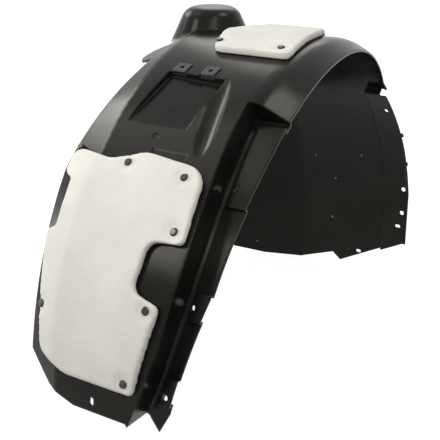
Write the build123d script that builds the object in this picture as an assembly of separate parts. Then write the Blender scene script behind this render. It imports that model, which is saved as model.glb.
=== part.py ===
"""Front wheel arch liner: a thin moulded shell with two felt pads.

X runs fore and aft with the front leg at +X, -Y points outboard and +Z up.
The shell is drawn about the wheel's axle line and then moved to its mount.
"""
import os
from math import acos, asin, cos, degrees, hypot, radians, sin

from build123d import *

# Shell
wall = 2.5

# Plateau of the arch: a drum that sits behind the axle line
drum_radius = 412.0
drum_x = -14.0
drum_z = -4.0

# Lengths of cutters that pass the whole liner, and of those that pass one wall
reach = drum_radius * 1.7
cut = wall * 12

# Inboard shoulder: a cone that narrows towards the car
shoulder_drop = 11.1
shoulder_radius = drum_radius - shoulder_drop
shoulder_x = 5.0
shoulder_slope = 0.36
ridge_fillet = 22.0

# Crown lip: a cone that narrows outboard, turned with the skewed outboard edge
lip_drop = 22.0
lip_radius = drum_radius - lip_drop
lip_y = -236.0
lip_slope = 0.6
lip_skew_angle = 7.4
crest_fillet = drum_radius / 10

# Edge of the liner seen from above: crown lip, front leg, inboard side
lip_rear = (-230.0, lip_y - 25.0)
lip_crown = (0.0, lip_y)
lip_front = (262.0, lip_y + 55.0)
inboard_edge = (
    (reach, 190.0),
    (240.0, 190.0),
    (80.0, 62.0),
    (5.0, 52.0),
    (-70.0, -10.0),
    (-150.0, -14.0),
    (-290.0, 2.0),
    (-400.0, -26.0),
    (-reach, -26.0),
)
inboard_fillet = 30.0
tab_x = -107.0
tab_y = -8.0
tab_radius = 22.0

# Feet of the two legs, seen along X
rear_foot = (
    (-262.0, 300.0),
    (-252.0, 175.0),
    (-219.0, 37.0),
    (-205.0, 11.0),
    (-186.0, 35.0),
    (-110.0, 35.0),
    (-68.0, 48.0),
    (-20.0, 78.0),
)
front_foot = (
    (-187.0, -12.0),
    (-59.0, -76.0),
    (-42.0, -64.0),
    (22.0, -85.0),
    (90.0, -84.0),
    (195.0, -70.0),
)

# Rear flange, below a wall that bows outboard at its middle
flange_drop = 26.0
flange_radius = drum_radius - flange_drop
flange_start_angle = 119.0
flange_end_angle = 184.0
flange_run_angle = 9.0
flange_wall_angles = (104.0, 147.0, 188.4)
flange_wall_y = (-196.0, -226.0, -141.0)
flange_root_fillet = 3.5
seat_rise = 6.0
seat_inset = 10.0
seat_angles = ((120.6, 137.8), (152.6, 157.6), (167.6, 172.9))
flange_hole = 8.0
flange_hole_angles = (134.3, 155.3, 171.2)
flange_hole_y = (-236.0, -232.0, -215.0)

# Front flange with its flat mounting face
front_drop = 24.0
front_radius = drum_radius - front_drop
front_set = 22.0
front_face_x = drum_x + drum_radius - front_set
front_face_top = 100.0
front_wall_y = -148.0
front_start_angle = 46.0
front_end_angle = -30.0
front_notch_angle = 0.45
front_notch_depth = 9.0
nub_angles = (31.0, 21.5)
nub_half_angle = 0.5

# Mount: two holes one above the other in the front flange
mount_hole = 8.0
mount_inset = 34.0
mount_y = front_wall_y - mount_inset
mount_z = 68.0
mount_pitch = 44.0
mount_margin = 10.0
front_edge_y = mount_y - mount_margin

# Slots near the edges
slot_length = 10.0
slot_width = 6.0
front_slot_angle = 39.6
front_slot_y = mount_y + 9.0
low_slot_y = mount_y + 6.0
low_slot_z = 20.0
foot_slot_y = -94.0
foot_slot_z = -52.0
rear_slot_angle = 172.8
rear_slot_y = -137.0

# Mould marks: dimples inside the front leg and one pin mark below the pocket
mark = 6.0
mark_depth = 0.8
plateau_mark_angles = (20.7, 18.3, 12.4, 1.1)
plateau_mark_y = (-101.0, -7.0, -44.0, -36.0)
shoulder_mark_angle = -10.2
shoulder_mark_y = 107.0
pin_mark = 9.0
pin_mark_angle = 127.5
pin_mark_y = -120.0

# Tower bulge on the crown
tower_x = 21.0
tower_y = -11.0
tower_rise = 27.0
tower_top = drum_z + drum_radius + tower_rise
tower_base_radius = 78.0
tower_top_radius = 36.5
tower_height = 90.0
tower_fillet = 22.0

# Pocket with a flat plate that is deepest at its top inboard corner
pocket_top_angle = 111.9
pocket_foot_angle = 125.4
pocket_depth = 9.0
pocket_foot_depth = 3.0
pocket_tilt_angle = 3.0
pocket_y = -112.0
pocket_width = 86.0

# Groove between the pocket and the rear flange's wall, which runs out at both ends
groove_angle = 121.0
groove_y = -173.0
groove_radius = 21.0
groove_depth = 5.5
groove_skew_angle = 14.0

# Shallow scoop above the rear pad
scoop_angle = 130.4
scoop_y = -150.0
scoop_length = 50.0
scoop_radius = 9.0
scoop_depth = 1.6

# U-nuts on the free edge above the pocket
nut_sheet = 1.0
nut_length = 18.0
nut_width = 20.0
nut_hole = 6.0
nut_gap = 0.4
nut_side_gap = 1.0
nut_notch = 6.0
nut_setback = 2.2
nut_collar = 4.0
nut_collar_wall = 1.5
nut_offsets = (28.0, -15.0)

# Felt pads: the rear one seen square to the plateau, the top one seen from above
felt = 8.0
felt_gap = 0.3
rear_pad_angle = 152.0
rear_pad_outline = (
    (140.0, -12.0),
    (131.0, -82.0),
    (147.0, -128.0),
    (138.0, -214.0),
    (50.0, -222.0),
    (46.0, -178.0),
    (-12.0, -174.0),
    (-22.0, -214.0),
    (-124.0, -197.0),
    (-124.0, -100.0),
    (-106.0, -54.0),
    (33.0, -20.0),
    (38.0, -36.0),
    (98.0, -31.0),
    (106.0, -12.0),
)
rear_pad_fillets = (10.0, 25.0, 35.0, 30.0, 7.0, 14.0, 14.0, 9.0, 5.0, 40.0, 20.0, 5.0, 6.0, 6.0, 8.0)
top_pad_outline = (
    (-111.0, -100.0),
    (-111.0, -212.0),
    (-58.0, -203.0),
    (20.0, -191.0),
    (150.0, -130.0),
    (150.0, -98.0),
    (10.0, -98.0),
    (-40.0, -74.0),
)
top_pad_fillets = (18.0, 8.0, 30.0, 60.0, 10.0, 10.0, 40.0, 20.0)

# Push rivets with square legs in square holes, each placed in its pad's own view
rivet_shank = 5.2
rivet_head = 10.0
rivet_crown = 7.0
rivet_head_height = 2.2
rivet_tail = 7.6
rivet_tail_length = 5.0
rivet_tail_taper = 20.0
rivet_gap = 0.3
rivet_hole = 6.0
rear_rivets = ((128.0, -109.0), (123.0, -191.0), (61.5, -206.0), (-28.0, -199.0), (-111.0, -186.0))
shoulder_rivets = ((126.0, -22.0), (-65.5, -48.0))
top_rivets = ((-87.5, -96.0), (-91.0, -190.0), (103.0, -122.0))

bottom = (Align.CENTER, Align.CENTER, Align.MIN)
top = (Align.CENTER, Align.CENTER, Align.MAX)


def degrees_of(length, radius):
    """Angle of an arc with this length."""
    return degrees(length / radius)


def drum_point(angle, y, rise=0.0):
    """Point on the plateau at an angle about the drum's own axis."""
    radius = drum_radius + rise
    x = drum_x + radius * cos(radians(angle))
    z = drum_z + radius * sin(radians(angle))
    return Vector(x, y, z)


def plateau_frame(angle, y):
    """Frame on the plateau: x towards the rear foot, y outboard, z out of the shell."""
    tangent = Vector(-sin(radians(angle)), 0, cos(radians(angle)))
    outward = Vector(cos(radians(angle)), 0, sin(radians(angle)))
    return Plane(origin=drum_point(angle, y), x_dir=tangent, z_dir=outward)


def shoulder_frame(angle, y):
    """Frame on the inboard shoulder, with z out of the shell."""
    radius = shoulder_radius - shoulder_slope * y
    x = shoulder_x + radius * cos(radians(angle))
    z = radius * sin(radians(angle))
    tangent = Vector(-sin(radians(angle)), 0, cos(radians(angle)))
    outward = Vector(cos(radians(angle)), shoulder_slope, sin(radians(angle)))
    return Plane(origin=(x, y, z), x_dir=tangent, z_dir=outward)


def sector(inner, outer, outboard, inboard, start, end):
    """Part of a ring about the axle line, between two angles."""
    width = inboard - outboard
    section = Pos((inner + outer) / 2, outboard + width / 2) * Rectangle(outer - inner, width)
    ring = revolve(section, Axis((0, 0, 0), (0, -1, 0)), end - start)
    return Rot(0, -start, 0) * ring


def middle_radius(edge):
    """Distance of an edge's middle from the axle line."""
    middle = edge @ 0.5
    return hypot(middle.X, middle.Z)


def long_edges(body, outboard, inboard):
    """Long edges of a body between two Y positions, the nearest to the axle line first."""
    found = []
    for edge in body.edges():
        box = edge.bounding_box()
        if box.min.Y > outboard and box.max.Y < inboard and edge.length > flange_radius / 2:
            found.append(edge)
    return sorted(found, key=middle_radius)


def along_y(solid):
    """Lay a solid of revolution on its side, with its top outboard."""
    return Rot(90, 0, 0) * solid


def barrel(offset):
    """Plateau and inboard shoulder as a closed body, grown by an offset."""
    drum = Pos(drum_x, 0, drum_z) * along_y(Cylinder(drum_radius + offset, reach))
    grow = offset * hypot(1, shoulder_slope)
    wide = shoulder_radius + shoulder_slope * reach / 2 + grow
    narrow = shoulder_radius - shoulder_slope * reach / 2 + grow
    body = drum & Pos(shoulder_x, 0, 0) * along_y(Cone(narrow, wide, reach))
    ridge = long_edges(body, -reach / 4, reach / 4)
    return fillet(ridge, ridge_fillet + offset)


def arch(offset):
    """Barrel with the crown lip shaved off its outboard side."""
    grow = offset * hypot(1, lip_slope)
    low = lip_radius - lip_slope * reach / 2 + grow
    high = lip_radius + lip_slope * reach / 2 + grow
    lip = Pos(0, lip_y, 0) * Rot(0, 0, lip_skew_angle) * along_y(Cone(high, low, reach))
    outboard_half = along_y(Cylinder(reach, reach / 2, align=bottom))
    body = barrel(offset) - (outboard_half - lip)
    crest = long_edges(body, lip_y - 2 * crest_fillet, lip_y + 2 * crest_fillet)
    return fillet(crest, crest_fillet + offset)


def rear_outboard(offset):
    """Everything outboard of the bowed wall between the plateau and the rear flange."""
    places = []
    for angle, y in zip(flange_wall_angles, flange_wall_y):
        places.append((y - offset, drum_radius * sin(radians(angle))))
    high, middle, low = places
    wall_line = ThreePointArc(high, middle, low)
    below = Polyline(low, (low[0], -reach), (-reach, -reach))
    above = Polyline((-reach, -reach), (-reach, reach), (high[0], reach), high)
    return extrude(Plane.YZ * make_face(wall_line + below + above), -reach)


def rear_leg(offset):
    """Barrel with the rear flange cut down its outboard side."""
    body = barrel(offset)
    start = flange_start_angle - flange_run_angle
    recess = sector(flange_radius + offset, reach, -reach / 2, 0, start, flange_end_angle)
    recess &= rear_outboard(offset)
    root = long_edges(recess, min(flange_wall_y) - cut, max(flange_wall_y) + cut)[0]
    body -= fillet(root, flange_root_fillet - offset)

    turn = degrees_of(offset, flange_radius)
    for start, end in seat_angles:
        seat_top = flange_radius + seat_rise + offset
        seat = sector(flange_radius / 2, seat_top, -reach / 2, 0, start - turn, end + turn)
        body += seat & rear_outboard(seat_inset - offset)
    return body


def pocket_frame(offset):
    """Frame on the pocket's plate and the plate's length from top to foot."""
    high = drum_point(pocket_top_angle, pocket_y, -pocket_depth)
    low = drum_point(pocket_foot_angle, pocket_y, -pocket_foot_depth)
    along = low - high
    plate = Plane(origin=(high + low) / 2, x_dir=along, z_dir=Vector(0, 1, 0).cross(along))
    return plate.rotated((pocket_tilt_angle, 0, 0)).offset(offset), along.length


def plug(offset):
    """Full outside form of the liner, grown by an offset."""
    turn = degrees_of(offset, flange_radius)
    split = flange_start_angle + turn
    body = arch(offset) & sector(0, reach, -reach / 2, reach / 2, front_end_angle, split)
    body += rear_leg(offset) & sector(0, reach, -reach / 2, reach / 2, split, flange_end_angle)

    front_wall = front_wall_y - offset
    limits = (front_end_angle, front_start_angle - turn)
    strip = sector(front_radius + offset, reach, -reach / 2, front_wall, *limits)
    corner = Box(reach, reach, reach, align=(Align.MIN, Align.MAX, Align.MAX))
    body -= strip + Pos(front_face_x + offset, front_wall, front_face_top) * corner

    tower = Cone(tower_base_radius + offset, tower_top_radius + offset, tower_height)
    tower = fillet(tower.edges().sort_by(Axis.Z)[-1], tower_fillet + offset)
    body += Pos(tower_x, tower_y, tower_top + offset - tower_height / 2) * tower

    plate, length = pocket_frame(offset)
    body -= plate * Box(length - 2 * offset, pocket_width - 2 * offset, 2 * cut, align=bottom)

    groove = Rot(0, 90, 0) * Cylinder(groove_radius - offset, 8 * groove_radius)
    groove = Pos(0, 0, groove_radius - groove_depth) * Rot(0, 0, groove_skew_angle) * groove
    body -= plateau_frame(groove_angle, groove_y) * groove

    scoop = along_y(Cylinder(scoop_radius - offset, scoop_length - 2 * offset))
    scoop = Pos(0, 0, scoop_radius - scoop_depth) * scoop
    body -= plateau_frame(scoop_angle, scoop_y) * scoop
    return body


def outline_from_above():
    """Edge of the liner seen from above, as a tall prism."""
    lip_edge = ThreePointArc(lip_rear, lip_crown, lip_front)
    front_corner = (inboard_edge[0][0], front_edge_y)
    rear_corner = (inboard_edge[-1][0], lip_rear[1])
    front_line = Polyline(lip_front, (front_face_x, front_edge_y), front_corner, inboard_edge[0])
    inboard_line = FilletPolyline(*inboard_edge, radius=inboard_fillet)
    rear_line = Polyline(inboard_edge[-1], rear_corner, lip_rear)
    plan = make_face(lip_edge + front_line + inboard_line + rear_line)
    plan += Pos(tab_x, tab_y) * Circle(tab_radius)
    return extrude(plan, reach, both=True)


def outline_from_side(foot, length):
    """One leg's foot seen along X, as a long prism."""
    outboard, inboard = foot[0], foot[-1]
    inboard_side = Polyline(inboard, (reach, inboard[1]), (reach, reach))
    outboard_side = Polyline((reach, reach), (-reach, reach), (-reach, outboard[1]), outboard)
    return extrude(Plane.YZ * make_face(Polyline(*foot) + inboard_side + outboard_side), length)


def u_nut():
    """Sprung sheet nut about its hole, with its open end towards -X."""
    inner = wall + 2 * nut_gap
    outer = inner + 2 * nut_sheet
    profile = Rectangle(nut_length, outer, align=(Align.MAX, Align.CENTER))
    profile = fillet(profile.vertices().group_by(Axis.X)[-1], outer / 2 - nut_gap)
    profile -= Pos(-nut_sheet, 0) * Rectangle(nut_length, inner, align=(Align.MAX, Align.CENTER))
    clip = Pos(nut_length / 2, 0, 0) * extrude(Plane.XZ * profile, nut_width / 2, both=True)
    collar = Cylinder(nut_hole / 2 + nut_collar_wall, nut_collar, align=top)
    clip += Pos(0, 0, -outer / 2) * collar
    return clip - Cylinder(nut_hole / 2, nut_length)


def rivet():
    """Push rivet, drawn with its axis on Z and the shell's outer face at zero."""
    under_head = felt_gap + felt + rivet_gap
    under_shell = -wall - rivet_gap
    head = Cone(rivet_head / 2, rivet_crown / 2, rivet_head_height, align=bottom)
    shank = Box(rivet_shank, rivet_shank, under_head - under_shell, align=bottom)
    tail = extrude(Rectangle(rivet_tail, rivet_tail), -rivet_tail_length, taper=rivet_tail_taper)
    return Pos(0, 0, under_head) * head + Pos(0, 0, under_shell) * (shank + tail)


def radial_hole(hole, radius, angle, y):
    """Cutter for a round hole that points at the axle line."""
    return Rot(0, -angle, 0) * Pos(radius, y, 0) * Rot(0, 90, 0) * Cylinder(hole / 2, cut)


# Places of the rivets, from their pads' views
rivet_frames = []
for up, y in rear_rivets:
    turn = degrees(asin(up / drum_radius))
    rivet_frames.append(plateau_frame(rear_pad_angle - turn, y))
for up, y in shoulder_rivets:
    turn = degrees(asin(up / (shoulder_radius - shoulder_slope * y)))
    rivet_frames.append(shoulder_frame(rear_pad_angle - turn, y))
for x, y in top_rivets:
    rivet_frames.append(plateau_frame(degrees(acos((x - drum_x) / drum_radius)), y))

# Shell, trimmed to its edge
shell = plug(0) - plug(-wall)
shell &= outline_from_above()
shell &= outline_from_side(rear_foot, -reach) + outline_from_side(front_foot, reach)

# Notch and nubs on the front flange's edge
notch_limits = (front_start_angle - front_notch_angle, front_start_angle + front_notch_angle)
notch_foot = lip_front[1] + front_notch_depth
shell -= sector(front_radius / 2, reach, -reach / 2, notch_foot, *notch_limits)
for angle in nub_angles:
    nub_limits = (angle - nub_half_angle, angle + nub_half_angle)
    shell += sector(front_radius - wall, front_radius, front_edge_y, front_wall_y - wall, *nub_limits)

# Notches for the nuts in the edge above the pocket, and their screw holes
nut_turn = degrees_of(nut_length / 2 + nut_setback, drum_radius)
nut_frames = []
for offset in nut_offsets:
    nut_frames.append(plateau_frame(pocket_top_angle - nut_turn, pocket_y + offset).offset(-wall / 2))
free_edge = nut_length / 2 - nut_sheet - nut_gap
under_nut = wall / 2 + nut_sheet + 2 * nut_gap
across = nut_width + 2 * nut_side_gap
notch = Box(nut_notch, across, cut, align=(Align.MIN, Align.CENTER, Align.MIN))
for frame in nut_frames:
    shell -= frame * Pos(free_edge, 0, -under_nut) * notch
    shell -= frame * Cylinder(nut_hole / 2, cut)

# Fixing holes
for angle, y in zip(flange_hole_angles, flange_hole_y):
    shell -= radial_hole(flange_hole, flange_radius, angle, y)
for z in (mount_z - mount_pitch / 2, mount_z + mount_pitch / 2):
    shell -= Pos(front_face_x, mount_y, z) * Rot(0, 90, 0) * Cylinder(mount_hole / 2, cut)
leg_hole = Box(rivet_hole, rivet_hole, cut)
for frame in rivet_frames:
    shell -= frame * leg_hole
slot = extrude(SlotOverall(slot_length, slot_width), cut / 2, both=True)
sideways = Rot(0, 90, 0) * Rot(0, 0, 90)
shell -= Rot(0, -front_slot_angle, 0) * Pos(front_radius, front_slot_y, 0) * Rot(0, 90, 0) * slot
shell -= Pos(front_face_x, low_slot_y, low_slot_z) * sideways * slot
shell -= Pos(drum_x + drum_radius, foot_slot_y, foot_slot_z) * sideways * slot
shell -= plateau_frame(rear_slot_angle, rear_slot_y) * slot

# Shallow round marks left by the mould
mark_frames = [shoulder_frame(shoulder_mark_angle, shoulder_mark_y)]
mark_frames += [plateau_frame(*place) for place in zip(plateau_mark_angles, plateau_mark_y)]
for frame in mark_frames:
    shell -= frame * Pos(0, 0, -wall + mark_depth) * Cylinder(mark / 2, wall, align=top)
pin = Cylinder(pin_mark / 2, 2 * mark_depth)
shell -= plateau_frame(pin_mark_angle, pin_mark_y) * pin

# Felt pads
rear_sheet = barrel(felt_gap + felt) - barrel(felt_gap)
top_sheet = arch(felt_gap + felt) - arch(felt_gap)
tangent = plateau_frame(rear_pad_angle, 0)
side_view = Plane(origin=tangent.origin, x_dir=-tangent.x_dir, z_dir=tangent.z_dir)
rear_line = FilletPolyline(*rear_pad_outline, radius=list(rear_pad_fillets), close=True)
rear_pad = rear_sheet & (side_view * extrude(make_face(rear_line), drum_radius / 2, both=True))
top_line = FilletPolyline(*top_pad_outline, radius=list(top_pad_fillets), close=True)
top_pad = top_sheet & extrude(make_face(top_line), reach)
for frame in rivet_frames:
    rear_pad -= frame * leg_hole
    top_pad -= frame * leg_hole

# Fasteners
rivets = Compound(children=[frame * rivet() for frame in rivet_frames])
nuts = Compound(children=[frame * u_nut() for frame in nut_frames])

to_mount = Pos(-front_face_x, -mount_y, -mount_z)
nodes = {
    "liner_shell": shell,
    "rear_felt_pad": rear_pad,
    "top_felt_pad": top_pad,
    "pad_rivets": rivets,
    "u_nuts": nuts,
}
os.makedirs("parts", exist_ok=True)
for name, shape in nodes.items():
    export_step(to_mount * shape, f"parts/{name}.step")
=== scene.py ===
"""Looks of the wheel arch liner: black plastic, needled felt pads, dark rivets and nuts."""
from math import cos, radians, sin
import bmesh
import bpy
from mathutils import Matrix, Vector, noise


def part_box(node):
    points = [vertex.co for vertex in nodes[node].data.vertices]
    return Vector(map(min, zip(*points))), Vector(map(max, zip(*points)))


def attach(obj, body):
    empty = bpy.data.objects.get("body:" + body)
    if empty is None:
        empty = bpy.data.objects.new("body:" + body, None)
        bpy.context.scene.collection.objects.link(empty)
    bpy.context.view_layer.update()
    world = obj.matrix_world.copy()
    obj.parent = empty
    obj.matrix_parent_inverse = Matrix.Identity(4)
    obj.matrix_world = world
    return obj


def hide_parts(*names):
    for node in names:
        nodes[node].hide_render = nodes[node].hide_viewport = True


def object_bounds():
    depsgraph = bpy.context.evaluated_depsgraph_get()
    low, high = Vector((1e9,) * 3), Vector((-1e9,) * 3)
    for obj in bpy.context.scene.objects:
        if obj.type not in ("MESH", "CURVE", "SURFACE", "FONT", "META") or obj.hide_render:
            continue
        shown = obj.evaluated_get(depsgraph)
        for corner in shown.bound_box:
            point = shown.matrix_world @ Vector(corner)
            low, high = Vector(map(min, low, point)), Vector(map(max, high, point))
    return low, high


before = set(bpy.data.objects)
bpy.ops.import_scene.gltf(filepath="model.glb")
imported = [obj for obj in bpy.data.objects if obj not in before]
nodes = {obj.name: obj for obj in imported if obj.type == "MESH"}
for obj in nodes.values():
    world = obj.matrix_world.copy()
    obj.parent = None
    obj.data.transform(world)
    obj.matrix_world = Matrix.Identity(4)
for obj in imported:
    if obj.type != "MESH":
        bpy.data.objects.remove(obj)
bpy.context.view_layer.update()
scene = bpy.context.scene

# Drum axis of the arch in the row frame
AXIS_X = -0.390
AXIS_Z = -0.072

# Range that most values of a noise texture lie in
NOISE_LOW = 0.35
NOISE_HIGH = 0.65

# Shell's plastic: colours, roughness, gloss and rounding of its edges
SHELL_DARK = (0.0060, 0.0060, 0.0054)
SHELL_PALE = (0.0095, 0.0095, 0.0086)
SHELL_ROUGHNESS = (0.17, 0.23)
SHELL_TINT = (1.0, 0.97, 0.88, 1.0)
SHELL_SPECULAR = 0.12
SHELL_EDGE = 0.004

# Shell's noises, as features per metre and detail, and their relief, as height and strength
SHELL_PATCHES = (22.0, 4.0)
SHELL_GRAIN = (1400.0, 2.0)
SHELL_WAVES = (18.0, 2.0)
GRAIN_RELIEF = (0.0001, 0.15)
WAVE_RELIEF = (0.003, 0.10)

# Felt's look: colours and dull finish
FELT_DARK = (0.62, 0.605, 0.572)
FELT_PALE = (0.68, 0.667, 0.634)
FELT_ROUGHNESS = 0.95
FELT_SPECULAR = 0.1
FELT_SHEEN = 0.15

# Felt's noises, as features per metre and detail, and their relief, as height and strength
FELT_SOIL = (14.0, 5.0)
FELT_FIBRES = (700.0, 6.0)
FELT_STRANDS = (260.0, 5.0)
STRAND_STRETCH = (1.0, 3.5, 1.0)
FIBRE_RELIEF = (0.0006, 0.55)
STRAND_RELIEF = (0.0010, 0.35)

# Felt's form: its mesh, the loft of its face and the dimple round each rivet
VOXEL = 0.0022
SMOOTH_SHARE = 0.5
SMOOTH_ROUNDS = 5
FACE_LIMIT = 0.2
PUFF = 0.0015
DIMPLE_FLAT = 0.0065
DIMPLE_END = 0.017
RIVET_ROOM = 0.01

# Unevenness of the loft: features per metre and share of the loft
LOFT_WAVES = ((40.0, 0.25), (150.0, 0.08))

# Small pieces: dark and pale colour with roughness, then what their finish has in common
RIVET_FINISH = ((0.006, 0.006, 0.006), (0.012, 0.012, 0.011), 0.22)
NUT_FINISH = ((0.004, 0.004, 0.004), (0.009, 0.009, 0.009), 0.5)
# Mould marks' pale colour is a painted highlight: the light their beads catch inside the dark front
# leg
MARK_PAINTED_HIGHLIGHT = ((0.09, 0.09, 0.085), (0.13, 0.13, 0.125), 0.3)
SMALL_PATCHES = (400.0, 4.0)
SMALL_UNEVEN = 0.2
SMALL_EDGE = 0.0012

# Notches under the sprung nuts: angle outward, floor's distance from the axis, reach and lift
NOTCH_ANGLE = 110.34
NOTCH_FLOOR = 0.4077
NOTCH_TOLERANCE = 0.00003
NOTCH_START = 0.0075
NOTCH_END = 0.0137
NOTCH_LIFT = 0.0013

# Round surfaces of the front leg: axis along X and Z, radius and slope along Y
DRUM = (AXIS_X, AXIS_Z, 0.412, 0.0)
SHOULDER = (-0.371, -0.068, 0.3624, 0.36)

# Mould marks inside the front leg: angle, place along Y, and the surface that each one is on
MARKS = (
    (20.7, 0.081, DRUM),
    (18.3, 0.175, DRUM),
    (12.4, 0.138, DRUM),
    (1.1, 0.146, DRUM),
    (-10.2, 0.289, SHOULDER),
)
MARK_DEPTH = 0.0021
MARK_SIZE = (0.0024, 0.0024, 0.00035)
MARK_SEGMENTS = 16
MARK_RINGS = 8

# Point that the lamps aim at, and over the middle of the floor's glow
MIDDLE = (-0.40, 0.10, 0.15)

# Soft boxes: name, place, width and height, power
LIGHT_COLOUR = (1.0, 0.985, 0.945)
LAMPS = (
    ("key", (-2.05, -1.0, 1.5), (0.6, 0.6), 22.5),
    ("side", (-1.9, 1.2, 1.3), (0.55, 0.55), 10.0),
    ("left", (-1.25, 1.95, 0.55), (0.6, 0.7), 21.0),
    ("shoulder", (-0.2, 2.0, 1.3), (1.0, 0.7), 13.0),
    ("top", (-0.8, 1.2, 2.0), (1.0, 0.7), 4.0),
    ("crown", (0.05, -0.65, 2.05), (0.8, 0.6), 11.0),
    ("strip", (-1.25, -0.9, 1.95), (0.3, 0.7), 6.0),
    ("back", (1.5, 1.0, 1.7), (1.2, 1.2), 9.0),
)

# Sky: its strength as light, and as the white background
SKY_COLOUR = (1.0, 1.0, 0.985, 1.0)
SKY_LIGHT = 0.18
SKY_SEEN = 1.0

# Floor: dull grey, with a glow as the white background that is weaker near the object
FLOOR_COLOUR = (0.22, 0.22, 0.215, 1.0)
FLOOR_ROUGHNESS = 0.9
FLOOR_HALF = 6.0
FLOOR_DROP = 0.002
GLOW_NEAR = 0.84
GLOW_FAR = 1.0
GLOW_START = 0.3
GLOW_END = 1.3

# Camera of the photograph
CAMERA_PLACE = (-1.5145, -0.5933, 0.5474)
CAMERA_RIGHT = Vector((0.5432, -0.8396, 0.0))
CAMERA_UP = Vector((0.2885, 0.1867, 0.9391))
CAMERA_LENS = 77.7
CAMERA_SENSOR = 36.0


def new_material(name):
    """Material with its node tree and its shader."""
    material = bpy.data.materials.new(name)
    material.use_nodes = True
    tree = material.node_tree
    shader = tree.nodes["Principled BSDF"]
    return material, tree, shader


def noise_node(tree, scale, detail, stretch=None):
    """Noise in the row frame, in features per metre."""
    place = tree.nodes.new("ShaderNodeTexCoord").outputs["Object"]
    if stretch:
        mapping = tree.nodes.new("ShaderNodeMapping")
        mapping.inputs["Scale"].default_value = stretch
        tree.links.new(place, mapping.inputs["Vector"])
        place = mapping.outputs["Vector"]
    texture = tree.nodes.new("ShaderNodeTexNoise")
    texture.inputs["Scale"].default_value = scale
    texture.inputs["Detail"].default_value = detail
    tree.links.new(place, texture.inputs["Vector"])
    return texture.outputs["Fac"]


def spread(tree, value, low, high, start=NOISE_LOW, end=NOISE_HIGH):
    """Spread a value between two numbers, from the range of a noise unless another is given."""
    node = tree.nodes.new("ShaderNodeMapRange")
    node.inputs["From Min"].default_value = start
    node.inputs["From Max"].default_value = end
    node.inputs["To Min"].default_value = low
    node.inputs["To Max"].default_value = high
    tree.links.new(value, node.inputs["Value"])
    return node.outputs["Result"]


def two_colours(tree, value, low, high):
    """Blend two colours by a value from 0 to 1."""
    node = tree.nodes.new("ShaderNodeMix")
    node.data_type = "RGBA"
    node.inputs["A"].default_value = (*low, 1.0)
    node.inputs["B"].default_value = (*high, 1.0)
    tree.links.new(value, node.inputs["Factor"])
    return node.outputs["Result"]


def bump(tree, height, distance, strength, normal=None):
    """Surface relief from a height."""
    node = tree.nodes.new("ShaderNodeBump")
    node.inputs["Distance"].default_value = distance
    node.inputs["Strength"].default_value = strength
    tree.links.new(height, node.inputs["Height"])
    if normal:
        tree.links.new(normal, node.inputs["Normal"])
    return node.outputs["Normal"]


def rounded_edge(tree, radius):
    """Shading that rounds sharp edges."""
    node = tree.nodes.new("ShaderNodeBevel")
    node.inputs["Radius"].default_value = radius
    return node.outputs["Normal"]


def shell_material():
    """Black polyethylene with a soft gloss, slow waves, a fine moulded grain and rounded edges."""
    material, tree, shader = new_material("shell_plastic")
    patches = noise_node(tree, *SHELL_PATCHES)
    grain = noise_node(tree, *SHELL_GRAIN)
    waves = noise_node(tree, *SHELL_WAVES)
    shade = spread(tree, patches, 0.0, 1.0)
    colour = two_colours(tree, shade, SHELL_DARK, SHELL_PALE)
    tree.links.new(colour, shader.inputs["Base Color"])
    tree.links.new(spread(tree, patches, *SHELL_ROUGHNESS), shader.inputs["Roughness"])
    shader.inputs["Specular Tint"].default_value = SHELL_TINT
    shader.inputs["Specular IOR Level"].default_value = SHELL_SPECULAR
    wavy = bump(tree, waves, *WAVE_RELIEF, rounded_edge(tree, SHELL_EDGE))
    tree.links.new(bump(tree, grain, *GRAIN_RELIEF, wavy), shader.inputs["Normal"])
    return material


def felt_material():
    """Off-white needled felt with short fibres and faint soiling."""
    material, tree, shader = new_material("felt")
    soil = noise_node(tree, *FELT_SOIL)
    fibres = noise_node(tree, *FELT_FIBRES)
    strands = noise_node(tree, *FELT_STRANDS, STRAND_STRETCH)
    shade = spread(tree, soil, 0.0, 1.0)
    colour = two_colours(tree, shade, FELT_DARK, FELT_PALE)
    tree.links.new(colour, shader.inputs["Base Color"])
    shader.inputs["Roughness"].default_value = FELT_ROUGHNESS
    shader.inputs["Specular IOR Level"].default_value = FELT_SPECULAR
    shader.inputs["Sheen Weight"].default_value = FELT_SHEEN
    stranded = bump(tree, strands, *STRAND_RELIEF)
    tree.links.new(bump(tree, fibres, *FIBRE_RELIEF, stranded), shader.inputs["Normal"])
    return material


def small_material(name, low, high, roughness):
    """Finish of rivets and nuts, and of mould marks whose pale colour is a painted highlight,
    slightly uneven and with rounded edges.
    """
    material, tree, shader = new_material(name)
    patches = noise_node(tree, *SMALL_PATCHES)
    colour = two_colours(tree, spread(tree, patches, 0.0, 1.0), low, high)
    tree.links.new(colour, shader.inputs["Base Color"])
    smooth, rough = roughness * (1.0 - SMALL_UNEVEN), roughness * (1.0 + SMALL_UNEVEN)
    tree.links.new(spread(tree, patches, smooth, rough), shader.inputs["Roughness"])
    tree.links.new(rounded_edge(tree, SMALL_EDGE), shader.inputs["Normal"])
    return material


def paint(obj, material):
    """Give an object one material."""
    obj.data.materials.clear()
    obj.data.materials.append(material)


def outward_of(point):
    """Direction out of the arch at a point."""
    return Vector((point.x - AXIS_X, 0.0, point.z - AXIS_Z)).normalized()


def inside_box(point, corners):
    """True if a point lies in a box, with a little room to spare."""
    low, high = corners
    return all(low[i] - RIVET_ROOM < point[i] < high[i] + RIVET_ROOM for i in range(3))


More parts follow.
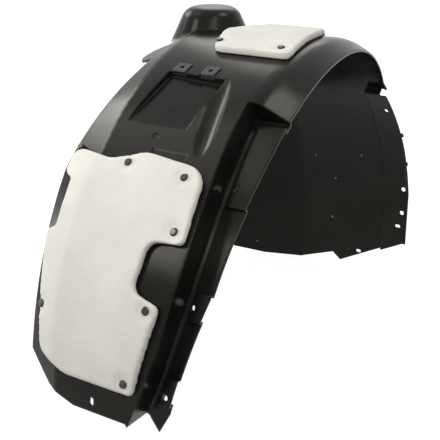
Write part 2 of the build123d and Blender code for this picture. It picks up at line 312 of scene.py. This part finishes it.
def rivet_places():
    """Middle of each rivet, from the separate pieces of the rivet node."""
    mesh = nodes["pad_rivets"].data
    owner = list(range(len(mesh.vertices)))

    def root_of(index):
        while owner[index] != index:
            owner[index] = owner[owner[index]]
            index = owner[index]
        return index

    seen = {}
    for vertex in mesh.vertices:
        key = tuple(round(value, 6) for value in vertex.co)
        owner[vertex.index] = root_of(seen.setdefault(key, vertex.index))
    for edge in mesh.edges:
        owner[root_of(edge.vertices[0])] = root_of(edge.vertices[1])
    groups = {}
    for vertex in mesh.vertices:
        groups.setdefault(root_of(vertex.index), []).append(vertex.co)
    return [sum(points, Vector()) / len(points) for points in groups.values()]


def softened_mesh(node):
    """Even mesh of a plain sheet, with its edges rounded."""
    copy = bpy.data.objects.new(node + "_work", nodes[node].data.copy())
    scene.collection.objects.link(copy)
    remesh = copy.modifiers.new("remesh", "REMESH")
    remesh.mode = "VOXEL"
    remesh.voxel_size = VOXEL
    soften = copy.modifiers.new("soften", "SMOOTH")
    soften.factor = SMOOTH_SHARE
    soften.iterations = SMOOTH_ROUNDS
    ready = copy.evaluated_get(bpy.context.evaluated_depsgraph_get())
    mesh = bpy.data.meshes.new_from_object(ready)
    bpy.data.objects.remove(copy)
    return mesh


def loft_at(point, rivets):
    """Height that the felt rises by: none beside a rivet, and all of it away from them."""
    loft = PUFF
    for place in rivets:
        across = point - place
        across -= outward_of(place) * across.dot(outward_of(place))
        reach = (across.length - DIMPLE_FLAT) / (DIMPLE_END - DIMPLE_FLAT)
        reach = min(max(reach, 0.0), 1.0)
        loft = min(loft, PUFF * reach * reach * (3 - 2 * reach))
    return loft


def felt_pad(node, material, rivets):
    """Soft pad in place of a plain sheet: rounded edges, uneven loft and dimples at its rivets."""
    mesh = softened_mesh(node)
    normals = [vertex.normal.copy() for vertex in mesh.vertices]
    near = [place for place in rivets if inside_box(place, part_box(node))]
    for vertex, normal in zip(mesh.vertices, normals):
        outward = outward_of(vertex.co)
        if normal.dot(outward) < FACE_LIMIT:
            continue
        uneven = sum(noise.noise(vertex.co * scale) * share for scale, share in LOFT_WAVES)
        vertex.co += outward * loft_at(vertex.co, near) * (1.0 + uneven)
    pad = bpy.data.objects.new(node + "_felt", mesh)
    scene.collection.objects.link(pad)
    mesh.shade_smooth()
    paint(pad, material)
    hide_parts(node)
    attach(pad, "root")


def raise_notches(shell):
    """Bring the notches' floors up close under the rounded ends of the sprung nuts."""
    outward = Vector((cos(radians(NOTCH_ANGLE)), 0.0, sin(radians(NOTCH_ANGLE))))
    along = Vector((-outward.z, 0.0, outward.x))
    floor = shell.vertex_groups.new(name="notch_floor")
    for vertex in shell.data.vertices:
        place = vertex.co - Vector((AXIS_X, 0.0, AXIS_Z))
        level = abs(place.dot(outward) - NOTCH_FLOOR) < NOTCH_TOLERANCE
        if level and NOTCH_START < place.dot(along) < NOTCH_END:
            floor.add([vertex.index], 1.0, "REPLACE")
    for direction, share in (("X", outward.x), ("Z", outward.z)):
        lift = shell.modifiers.new("notch_" + direction, "DISPLACE")
        lift.direction = direction
        lift.mid_level = 0.0
        lift.strength = NOTCH_LIFT * share
        lift.vertex_group = floor.name


def mould_marks(material):
    """Flat beads in the mould's prints inside the front leg, as one mesh, pale as a painted
    highlight of the light they catch.
    """
    marks = bmesh.new()
    for angle, y, (axis_x, axis_z, radius, slope) in MARKS:
        across, up = cos(radians(angle)), sin(radians(angle))
        outward = Vector((across, slope, up)).normalized()
        surface = Vector((axis_x + radius * across, y, axis_z + radius * up))
        turn = outward.to_track_quat("Z", "Y").to_matrix().to_4x4()
        where = Matrix.Translation(surface - outward * MARK_DEPTH) @ turn
        where = where @ Matrix.Diagonal((*MARK_SIZE, 1.0))
        bmesh.ops.create_uvsphere(
            marks, u_segments=MARK_SEGMENTS, v_segments=MARK_RINGS, radius=1.0, matrix=where)
    mesh = bpy.data.meshes.new("mould_marks")
    marks.to_mesh(mesh)
    marks.free()
    mesh.shade_smooth()
    beads = bpy.data.objects.new("mould_marks", mesh)
    scene.collection.objects.link(beads)
    paint(beads, material)
    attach(beads, "root")


def area_light(name, place, size, power):
    """Slightly warm soft box aimed at the object's middle."""
    data = bpy.data.lights.new(name, "AREA")
    data.shape = "RECTANGLE"
    data.size, data.size_y = size
    data.energy = power
    data.color = LIGHT_COLOUR
    light = bpy.data.objects.new(name, data)
    light.location = place
    aim = Vector(MIDDLE) - Vector(place)
    light.rotation_euler = aim.to_track_quat("-Z", "Y").to_euler()
    scene.collection.objects.link(light)


def background_rays(tree):
    """1 for camera, glossy and transmission rays, which show the white background, and else 0."""
    path = tree.nodes.new("ShaderNodeLightPath")
    total = path.outputs["Is Camera Ray"]
    for kind in ("Is Glossy Ray", "Is Transmission Ray"):
        either = tree.nodes.new("ShaderNodeMath")
        either.operation = "MAXIMUM"
        tree.links.new(total, either.inputs[0])
        tree.links.new(path.outputs[kind], either.inputs[1])
        total = either.outputs[0]
    return total


def floor_material(height):
    """Dull grey floor that takes the object's shadow, plus a glow as the white background."""
    material, tree, shader = new_material("floor")
    shader.inputs["Base Color"].default_value = FLOOR_COLOUR
    shader.inputs["Roughness"].default_value = FLOOR_ROUGHNESS
    place = tree.nodes.new("ShaderNodeTexCoord").outputs["Object"]
    away = tree.nodes.new("ShaderNodeVectorMath")
    away.operation = "DISTANCE"
    away.inputs[1].default_value = (MIDDLE[0], MIDDLE[1], height)
    tree.links.new(place, away.inputs[0])
    level = spread(tree, away.outputs["Value"], GLOW_NEAR, GLOW_FAR, GLOW_START, GLOW_END)
    seen = tree.nodes.new("ShaderNodeMath")
    seen.operation = "MULTIPLY"
    tree.links.new(background_rays(tree), seen.inputs[0])
    tree.links.new(level, seen.inputs[1])
    glow = tree.nodes.new("ShaderNodeEmission")
    tree.links.new(seen.outputs[0], glow.inputs["Strength"])
    both = tree.nodes.new("ShaderNodeAddShader")
    tree.links.new(shader.outputs[0], both.inputs[0])
    tree.links.new(glow.outputs[0], both.inputs[1])
    tree.links.new(both.outputs[0], tree.nodes["Material Output"].inputs["Surface"])
    return material


# Materials on the nodes that aren't replaced
rivet_look = small_material("rivet_plastic", *RIVET_FINISH)
nut_look = small_material("nut_steel", *NUT_FINISH)
paint(nodes["liner_shell"], shell_material())
paint(nodes["pad_rivets"], rivet_look)
paint(nodes["u_nuts"], nut_look)

# Notches and mould marks of the shell, the marks' pale colour a painted highlight
raise_notches(nodes["liner_shell"])
mould_marks(small_material("mark_painted_highlight", *MARK_PAINTED_HIGHLIGHT))

# Felt pads
felt_look = felt_material()
rivets = rivet_places()
felt_pad("rear_felt_pad", felt_look, rivets)
felt_pad("top_felt_pad", felt_look, rivets)

# Floor
low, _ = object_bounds()
ground = low[2] - FLOOR_DROP
corners = [(x * FLOOR_HALF, y * FLOOR_HALF, ground) for x, y in ((-1, -1), (1, -1), (1, 1), (-1, 1))]
floor_mesh = bpy.data.meshes.new("floor")
floor_mesh.from_pydata(corners, [], [(0, 1, 2, 3)])
floor = bpy.data.objects.new("floor", floor_mesh)
scene.collection.objects.link(floor)
paint(floor, floor_material(ground))

# Sky: weak even light, which background rays see as white
world = bpy.data.worlds.new("studio")
scene.world = world
world.use_nodes = True
sky = world.node_tree.nodes["Background"]
sky.inputs["Color"].default_value = SKY_COLOUR
seen = background_rays(world.node_tree)
strength = spread(world.node_tree, seen, SKY_LIGHT, SKY_SEEN, 0.0, 1.0)
world.node_tree.links.new(strength, sky.inputs["Strength"])

# Lamps
for lamp in LAMPS:
    area_light(*lamp)

# Camera
camera_data = bpy.data.cameras.new("camera")
camera_data.lens = CAMERA_LENS
camera_data.sensor_width = CAMERA_SENSOR
camera = bpy.data.objects.new("camera", camera_data)
back = CAMERA_RIGHT.cross(CAMERA_UP)
turn = Matrix((CAMERA_RIGHT, CAMERA_UP, back)).transposed().to_4x4()
camera.matrix_world = Matrix.Translation(CAMERA_PLACE) @ turn
scene.collection.objects.link(camera)
scene.camera = camera
scene.view_settings.view_transform = "Standard"
